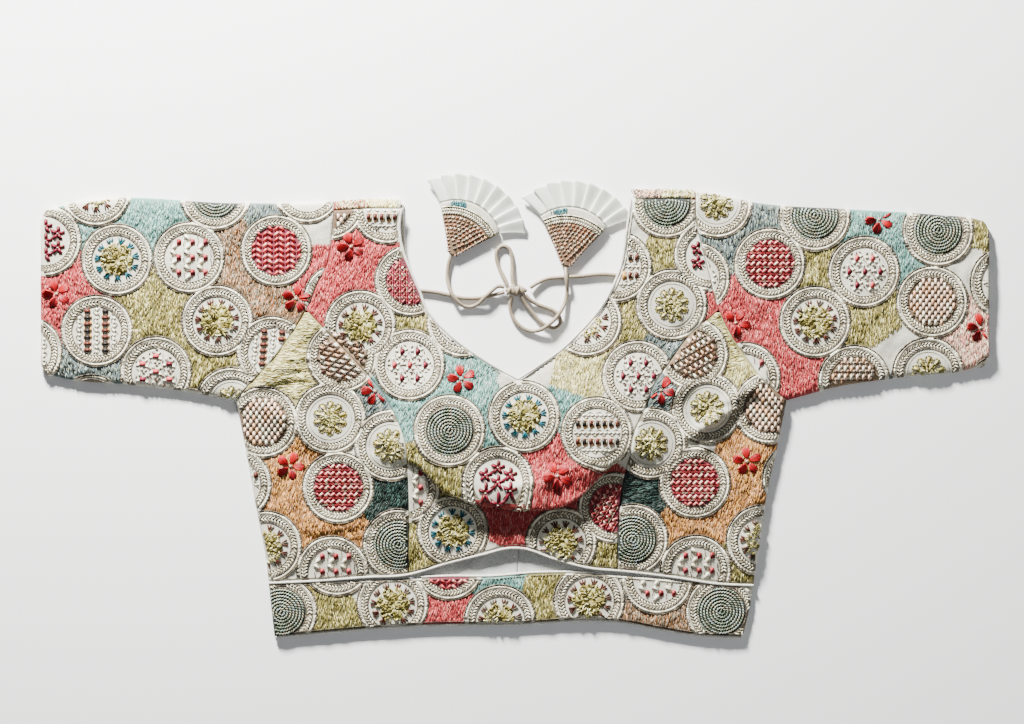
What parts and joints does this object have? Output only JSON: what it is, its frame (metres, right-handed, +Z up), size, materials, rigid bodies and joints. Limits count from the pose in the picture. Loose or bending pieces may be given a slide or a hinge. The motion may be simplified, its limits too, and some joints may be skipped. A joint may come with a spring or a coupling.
{
  "type": "choli blouse",
  "caption": "Short princess-cut blouse with elbow sleeves, leaf neck, deep back neck tied by a corded bow with latkans, and an embroidered waistband, laid flat.",
  "frame": {"origin": "on the surface the blouse lies on, under the middle of its outline without the ties", "axes": "+X across the blouse, towards the right of the picture; +Y from hem to neck; +Z up from the surface, out of the front"},
  "size_m": [0.788, 0.3878, 0.0222],
  "materials": {
    "embroidered_cloth": "cotton-silk covered with thread embroidery",
    "cotton_lining": "plain off-white cotton",
    "satin_bias": "off-white satin bias strip",
    "rouleau_cord": "off-white turned tube of cloth",
    "organza_frill": "stiff pleated off-white organza"
  },
  "bodies": {
    "root": {"front_centre": "embroidered_cloth", "front_side_left": "embroidered_cloth", "front_side_right": "embroidered_cloth", "back_left": "embroidered_cloth", "back_right": "embroidered_cloth", "back_lining_left": "cotton_lining", "back_lining_right": "cotton_lining", "sleeve_left": "embroidered_cloth", "sleeve_right": "embroidered_cloth", "waistband": "embroidered_cloth", "front_neck_piping": "satin_bias", "back_neck_piping": "satin_bias", "bodice_hem_piping": "satin_bias", "band_top_piping": "satin_bias", "band_hem_piping": "satin_bias", "dori_left": "rouleau_cord", "dori_right": "rouleau_cord", "bow_loop_up": "rouleau_cord", "bow_loop_right": "rouleau_cord", "tail_left": "rouleau_cord", "tail_right": "rouleau_cord", "bow_knot": "rouleau_cord", "latkan_cone_left": "embroidered_cloth", "latkan_cone_right": "embroidered_cloth", "latkan_frill_left": "organza_frill", "latkan_frill_right": "organza_frill"}
  },
  "joints": []
}
